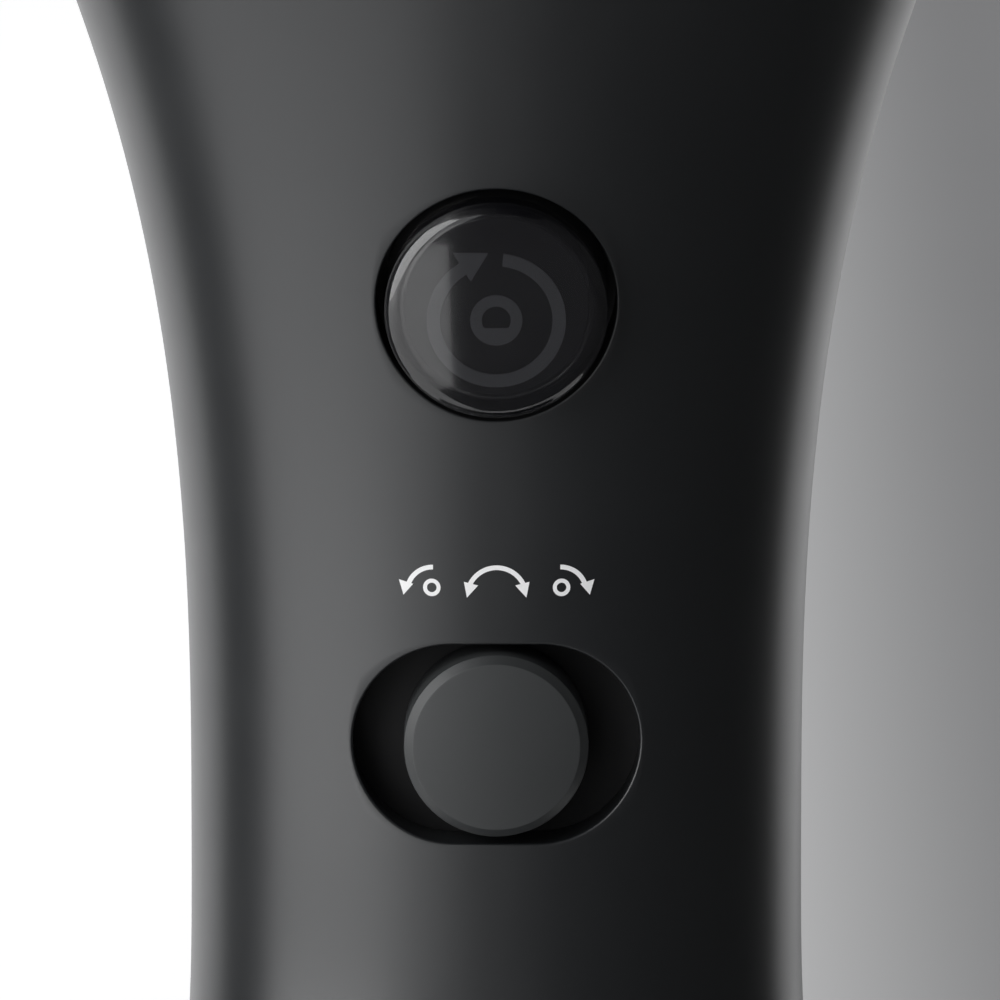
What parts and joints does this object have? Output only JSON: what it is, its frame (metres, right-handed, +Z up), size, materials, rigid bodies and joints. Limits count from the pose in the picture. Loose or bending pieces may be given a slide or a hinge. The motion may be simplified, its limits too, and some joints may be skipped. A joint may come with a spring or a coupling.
{
  "type": "car dryer blower",
  "caption": "Cordless handheld blower with a waisted grip, push button, sliding selector, ducted fan barrel, turning flat nozzle and slide-on battery foot.",
  "frame": {"origin": "on the standing plane, under the axis of the grip", "axes": "+Z up, +Y the way the air leaves, -Y the control face, +X to the right seen from the control face"},
  "size_m": [0.076, 0.1996, 0.221],
  "materials": {
    "satin_black": "satin, fine even grain",
    "dark_plastic": "matte",
    "knob_black": "satin",
    "smoked_lens": "polished, smoked",
    "symbol_grey": "matte",
    "white_print": "printed",
    "grey_plastic": "matte",
    "natural_nylon": "matte",
    "aluminium": "turned",
    "steel": "bright",
    "copper": "enamelled copper wire",
    "brass": "bright",
    "board_green": "solder mask",
    "cell_wrap": "shrink sleeve",
    "foam": "open foam",
    "rubber": "matte",
    "red_cable": "sheath"
  },
  "bodies": {
    "blower": {"rear_housing": "satin_black", "front_housing": "satin_black", "housing_screw_1": "steel", "housing_screw_2": "steel", "housing_screw_3": "steel", "housing_screw_4": "steel", "fan_shroud": "grey_plastic", "motor_end_bell": "aluminium", "rear_bearing": "steel", "motor_can": "steel", "front_bearing": "steel", "stator_core": "steel", "rear_winding": "copper", "front_winding": "copper", "motor_mount": "grey_plastic", "tail_cone": "grey_plastic", "outlet_cone": "grey_plastic", "drive_plate": "aluminium", "gear_motor": "steel", "front_ring": "aluminium", "button_spring": "steel", "button_switch": "dark_plastic", "selector_tray": "dark_plastic", "slide_switch": "steel", "control_board": "board_green", "motor_controller": "board_green", "control_screw_1": "steel", "control_screw_2": "steel", "controller_screw_1": "steel", "controller_screw_2": "steel", "battery_receiver": "grey_plastic", "terminal_block": "dark_plastic", "battery_cable": "red_cable", "motor_cable": "red_cable"},
    "intake": {"intake_cover": "dark_plastic", "intake_filter": "foam"},
    "fan": {"impeller": "grey_plastic", "impeller_nut": "brass", "motor_shaft": "steel", "rotor_magnet": "steel"},
    "nozzle": {"nozzle": "dark_plastic", "nozzle_gear": "natural_nylon"},
    "pinion": {"pinion": "natural_nylon"},
    "button": {"button_cap": "smoked_lens", "button_symbol": "symbol_grey", "button_body": "dark_plastic"},
    "selector": {"selector_knob": "knob_black", "selector_carriage": "natural_nylon"},
    "battery": {"battery_case": "satin_black", "battery_lid": "satin_black", "battery_terminals": "brass", "base_pad": "rubber", "cell_1": "cell_wrap", "cell_2": "cell_wrap", "cell_3": "cell_wrap", "cell_board": "board_green", "release_spring_left": "steel", "release_spring_right": "steel"},
    "release_left": {"release_button_left": "knob_black"},
    "release_right": {"release_button_right": "knob_black"}
  },
  "joints": [
    {"name": "intake_twist", "type": "hinge", "parent": "blower", "child": "intake", "pos_m": [0, -0.0723, 0.183], "axis": [0, 1, 0], "range_deg": [0, 25]},
    {"name": "fan_spin", "type": "hinge", "parent": "blower", "child": "fan", "pos_m": [0, -0.031, 0.183], "axis": [0, 1, 0], "continuous": true},
    {"name": "nozzle_turn", "type": "hinge", "parent": "blower", "child": "nozzle", "pos_m": [0, 0.0703, 0.183], "axis": [0, 1, 0], "range_deg": [-90, 90]},
    {"name": "pinion_turn", "type": "hinge", "parent": "blower", "child": "pinion", "pos_m": [0, 0.0517, 0.213], "axis": [0, 1, 0], "range_deg": [-662, 662]},
    {"name": "button_press", "type": "slide", "parent": "blower", "child": "button", "axis": [0, 0.9925, 0.1222], "range_m": [0, 0.0012], "stiffness_N_per_m": 900, "springref_m": -0.001, "deforming": ["button_spring"]},
    {"name": "selector_slide", "type": "slide", "parent": "blower", "child": "selector", "axis": [1, 0, 0], "range_m": [-0.0029, 0.0029]},
    {"name": "battery_slide", "type": "slide", "parent": "blower", "child": "battery", "axis": [0, 1, 0], "range_m": [0, 0.08]},
    {"name": "release_left_press", "type": "slide", "parent": "battery", "child": "release_left", "axis": [1, 0, 0], "range_m": [0, 0.0016], "stiffness_N_per_m": 1200, "springref_m": -0.0006, "deforming": ["release_spring_left"]},
    {"name": "release_right_press", "type": "slide", "parent": "battery", "child": "release_right", "axis": [-1, 0, 0], "range_m": [0, 0.0016], "stiffness_N_per_m": 1200, "springref_m": -0.0006, "deforming": ["release_spring_right"]}
  ],
  "couplings": [
    {"joint": "pinion_turn", "follows": "nozzle_turn", "ratio": -7.3333}
  ]
}
